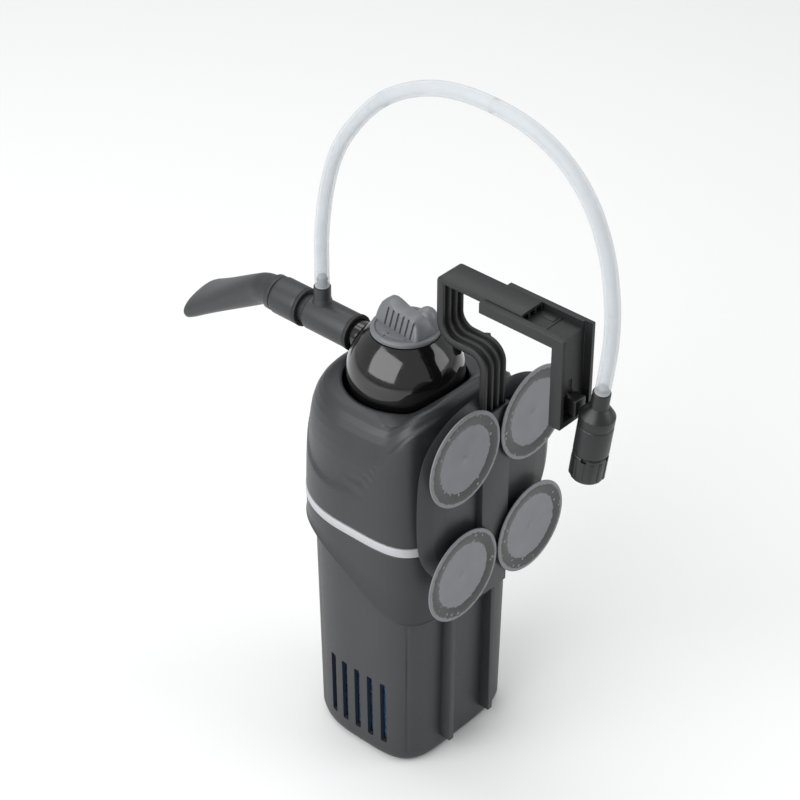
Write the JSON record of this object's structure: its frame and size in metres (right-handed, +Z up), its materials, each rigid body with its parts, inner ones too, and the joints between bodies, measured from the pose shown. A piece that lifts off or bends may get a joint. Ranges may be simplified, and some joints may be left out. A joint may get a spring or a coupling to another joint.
{
  "type": "internal canister filter",
  "caption": "Hang-on-glass internal canister filter: suction-cup holder, swivelling ball pump head, fan nozzle and air hose with regulating valve.",
  "frame": {"origin": "underside of the hanger clip where it rests on the top edge of the glass, on the part's middle plane", "axes": "+Z up, +Y from the glass into the tank along the outlet, +X along the glass; the suction cups end on the plane Y = 0"},
  "size_m": [0.081, 0.2238, 0.3056],
  "materials": {
    "housing_plastic": "moulded polypropylene, satin black-grey",
    "container_plastic": "moulded polypropylene, satin dark grey",
    "holder_plastic": "moulded plastic, satin charcoal",
    "bracket_plastic": "moulded ABS, fine satin black",
    "valve_plastic": "turned-look moulded plastic, black",
    "ball_plastic": "polished moulded ABS, glossy black",
    "knob_plastic": "moulded ABS, silver-grey satin",
    "band_plastic": "moulded plastic, light grey",
    "cup_rubber": "soft moulded PVC rubber, dark",
    "seal_rubber": "nitrile rubber, black",
    "inner_plastic": "moulded plastic, dark",
    "basket_plastic": "moulded plastic, mid grey",
    "filter_media": "porous filter granules",
    "filter_foam": "open-cell filter foam",
    "motor_resin": "epoxy potting round the coil",
    "ceramic": "ground ceramic",
    "rotor_plastic": "moulded magnet rotor",
    "hose_silicone": "translucent silicone tube"
  },
  "bodies": {
    "holder": {"holder_plate": "holder_plastic", "suction_cup_upper_left": "cup_rubber", "suction_cup_upper_right": "cup_rubber", "suction_cup_lower_left": "cup_rubber", "suction_cup_lower_right": "cup_rubber", "hanger_strap": "bracket_plastic", "air_hose": "hose_silicone"},
    "hanger_clip": {"hanger_clip": "bracket_plastic", "valve_clip_arm": "valve_plastic", "valve_body": "valve_plastic"},
    "valve_cap": {"valve_cap": "valve_plastic", "valve_needle": "valve_plastic"},
    "filter": {"upper_housing": "housing_plastic", "band_ring": "band_plastic", "ball_socket": "inner_plastic", "head_seal": "seal_rubber", "container_seal": "seal_rubber"},
    "container": {"container": "container_plastic", "media_basket": "basket_plastic", "media_fill": "filter_media", "foam_block": "filter_foam"},
    "pump_head": {"pump_ball": "ball_plastic", "cable_gland": "seal_rubber", "motor_block": "motor_resin", "upper_bush": "ceramic", "lower_bush": "ceramic", "impeller_shaft": "ceramic", "impeller_cover": "inner_plastic", "outlet_seal": "seal_rubber", "venturi_tee": "housing_plastic", "sleeve_seal": "seal_rubber"},
    "impeller": {"impeller": "rotor_plastic"},
    "knob": {"flow_knob": "knob_plastic", "flow_gate": "inner_plastic"},
    "nozzle": {"nozzle_sleeve": "housing_plastic", "fan_nozzle": "housing_plastic"}
  },
  "joints": [
    {"name": "clip_slide", "type": "slide", "parent": "holder", "child": "hanger_clip", "axis": [0, 1, 0], "range_m": [-0.008, 0.012], "deforming": ["air_hose"]},
    {"name": "valve_turn", "type": "hinge", "parent": "hanger_clip", "child": "valve_cap", "pos_m": [0, -0.0432, -0.036], "axis": [0, -0.1219, 0.9925], "range_deg": [-135, 135]},
    {"name": "filter_lift", "type": "slide", "parent": "holder", "child": "filter", "axis": [0, 0, 1], "range_m": [0, 0.012], "deforming": ["air_hose"]},
    {"name": "container_pull", "type": "slide", "parent": "filter", "child": "container", "axis": [0, 0, 1], "range_m": [-0.09, 0]},
    {"name": "head_swivel", "type": "hinge", "parent": "filter", "child": "pump_head", "pos_m": [0, 0.0485, -0.05], "axis": [0, 0, 1], "range_deg": [-60, 60], "deforming": ["air_hose"]},
    {"name": "knob_turn", "type": "hinge", "parent": "pump_head", "child": "knob", "pos_m": [0, 0.0485, -0.031], "axis": [0, 0, 1], "range_deg": [0, 90]},
    {"name": "nozzle_turn", "type": "hinge", "parent": "pump_head", "child": "nozzle", "pos_m": [0, 0.109, -0.0445], "axis": [0, 1, 0], "continuous": true},
    {"name": "impeller_spin", "type": "hinge", "parent": "pump_head", "child": "impeller", "pos_m": [0, 0.0485, -0.06], "axis": [0, 0, 1], "continuous": true}
  ]
}
